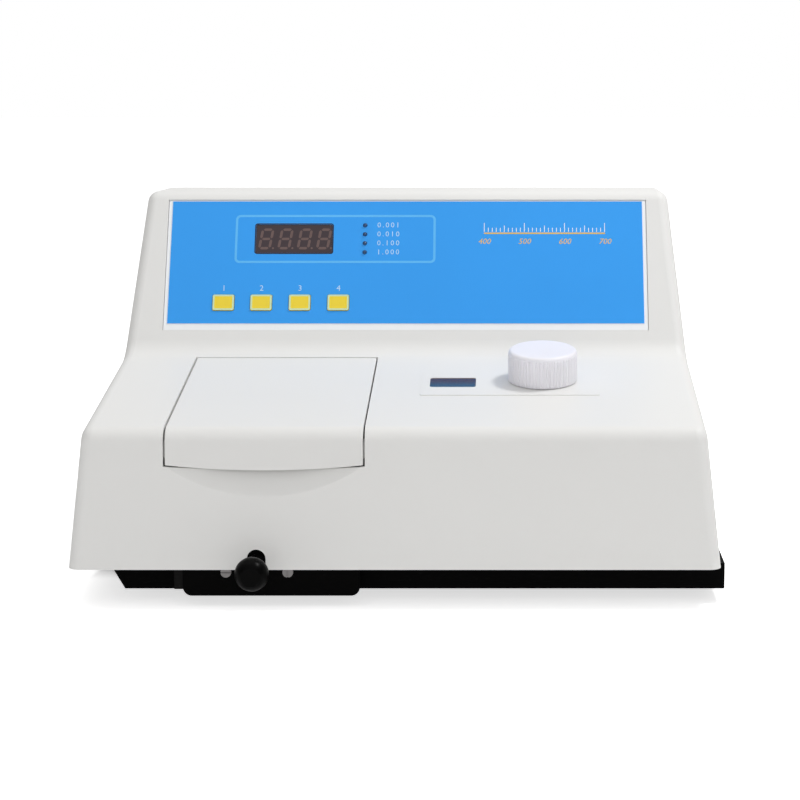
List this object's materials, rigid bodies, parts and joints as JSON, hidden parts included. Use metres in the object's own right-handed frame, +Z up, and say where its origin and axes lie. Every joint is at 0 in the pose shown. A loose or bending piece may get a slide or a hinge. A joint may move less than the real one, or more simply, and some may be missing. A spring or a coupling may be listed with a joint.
{
  "type": "visible-range bench spectrophotometer",
  "caption": "Bench spectrophotometer with sloped cover, hinged sample lid, wavelength knob and dial, keypad panel, digital display and a pull-rod cell carriage.",
  "frame": {"origin": "middle of the footprint on the table", "axes": "+X to the right seen from the front, +Y to the rear, +Z up"},
  "size_m": [0.3842, 0.3376, 0.2222],
  "materials": {
    "white_cover": "fine satin moulded",
    "black_sheet": "satin powder coat",
    "rubber": "matte",
    "steel": "turned",
    "black_cast": "matt black",
    "clear_glass": "polished",
    "mirror": "polished",
    "brass": "turned",
    "black_plastic": "gloss",
    "blue_overlay": "printed film",
    "yellow_key": "satin",
    "smoked_window": "smoked",
    "display_body": "matte",
    "status_light": "tinted",
    "circuit_board": "solder mask",
    "nylon": "natural",
    "window_lens": "polished",
    "white_knob": "satin",
    "dial_face": "printed",
    "transformer_iron": "laminated",
    "zinc_panel": "satin"
  },
  "bodies": {
    "frame": {"base_tray": "black_sheet", "board_standoffs": "nylon", "carriage_rails": "nylon", "collimating_mirror": "mirror", "condenser_lens": "clear_glass", "cover": "white_cover", "cover_screws": "steel", "detector_housing": "black_cast", "display_board": "circuit_board", "display_module": "display_body", "display_window": "smoked_window", "drive_bracket": "black_sheet", "feet": "rubber", "foot_screws": "steel", "front_plate": "black_sheet", "front_plate_screws": "steel", "fuse_holder": "black_plastic", "key_switches": "black_plastic", "keypad_overlay": "blue_overlay", "lamp": "clear_glass", "lamp_housing": "black_cast", "lid_hinge_brackets": "steel", "lid_hinge_pin": "steel", "lid_seal": "rubber", "main_board": "circuit_board", "monochromator_box": "black_cast", "monochromator_lid": "black_cast", "panel_plate": "white_cover", "photodiode_board": "circuit_board", "power_inlet": "black_plastic", "power_switch_housing": "black_plastic", "rear_panel": "zinc_panel", "rod_bush": "black_plastic", "sample_chamber": "black_cast", "shaft_bush": "brass", "slits": "black_cast", "status_lights": "status_light", "transformer": "transformer_iron", "wavelength_escutcheon": "white_cover", "wavelength_window": "window_lens"},
    "lid": {"sample_lid": "white_cover"},
    "knob": {"wavelength_knob": "white_knob", "knob_grub_screw": "steel", "knob_shaft": "steel"},
    "dial": {"wavelength_dial": "dial_face", "dial_gear": "nylon", "dial_spindle": "steel", "snail_cam": "brass"},
    "grating_turret": {"grating_arm": "black_cast", "grating": "mirror", "follower_roller": "nylon"},
    "carriage": {"cell_carriage": "black_cast", "cuvettes": "clear_glass", "pull_rod": "steel", "rod_knob": "black_plastic"},
    "key_one": {"key_1": "yellow_key"},
    "key_two": {"key_2": "yellow_key"},
    "key_three": {"key_3": "yellow_key"},
    "key_four": {"key_4": "yellow_key"},
    "rocker": {"power_rocker": "black_plastic"}
  },
  "joints": [
    {"name": "lid_hinge", "type": "hinge", "parent": "frame", "child": "lid", "pos_m": [-0.079, 0.00111, 0.11696], "axis": [-1, 0, 0], "range_deg": [0, 100]},
    {"name": "knob_turn", "type": "hinge", "parent": "frame", "child": "knob", "pos_m": [0.0862, -0.03712, 0.11592], "axis": [0, -0.1357, 0.9907], "range_deg": [-378, 702]},
    {"name": "dial_turn", "type": "hinge", "parent": "frame", "child": "dial", "pos_m": [0.0347, -0.00384, 0.11039], "axis": [0, -0.1357, 0.9907], "range_deg": [-176, 95]},
    {"name": "turret_swing", "type": "hinge", "parent": "frame", "child": "grating_turret", "pos_m": [0.0797, 0.01931, 0.10347], "axis": [0, -0.1357, 0.9907], "range_deg": [-6.82, 3.77]},
    {"name": "cell_slide", "type": "slide", "parent": "frame", "child": "carriage", "axis": [0, -1, 0], "range_m": [0, 0.045]},
    {"name": "key_1_press", "type": "slide", "parent": "frame", "child": "key_one", "axis": [0, 0.8821, -0.471], "range_m": [0, 0.0005], "stiffness_N_per_m": 1500},
    {"name": "key_2_press", "type": "slide", "parent": "frame", "child": "key_two", "axis": [0, 0.8821, -0.471], "range_m": [0, 0.0005], "stiffness_N_per_m": 1500},
    {"name": "key_3_press", "type": "slide", "parent": "frame", "child": "key_three", "axis": [0, 0.8821, -0.471], "range_m": [0, 0.0005], "stiffness_N_per_m": 1500},
    {"name": "key_4_press", "type": "slide", "parent": "frame", "child": "key_four", "axis": [0, 0.8821, -0.471], "range_m": [0, 0.0005], "stiffness_N_per_m": 1500},
    {"name": "power_rock", "type": "hinge", "parent": "frame", "child": "rocker", "pos_m": [0.114, 0.15582, 0.071], "axis": [0, 0, -1], "range_deg": [0, 16]}
  ],
  "couplings": [
    {"joint": "dial_turn", "follows": "knob_turn", "ratio": -0.25},
    {"joint": "turret_swing", "follows": "knob_turn", "ratio": -0.0094314}
  ]
}
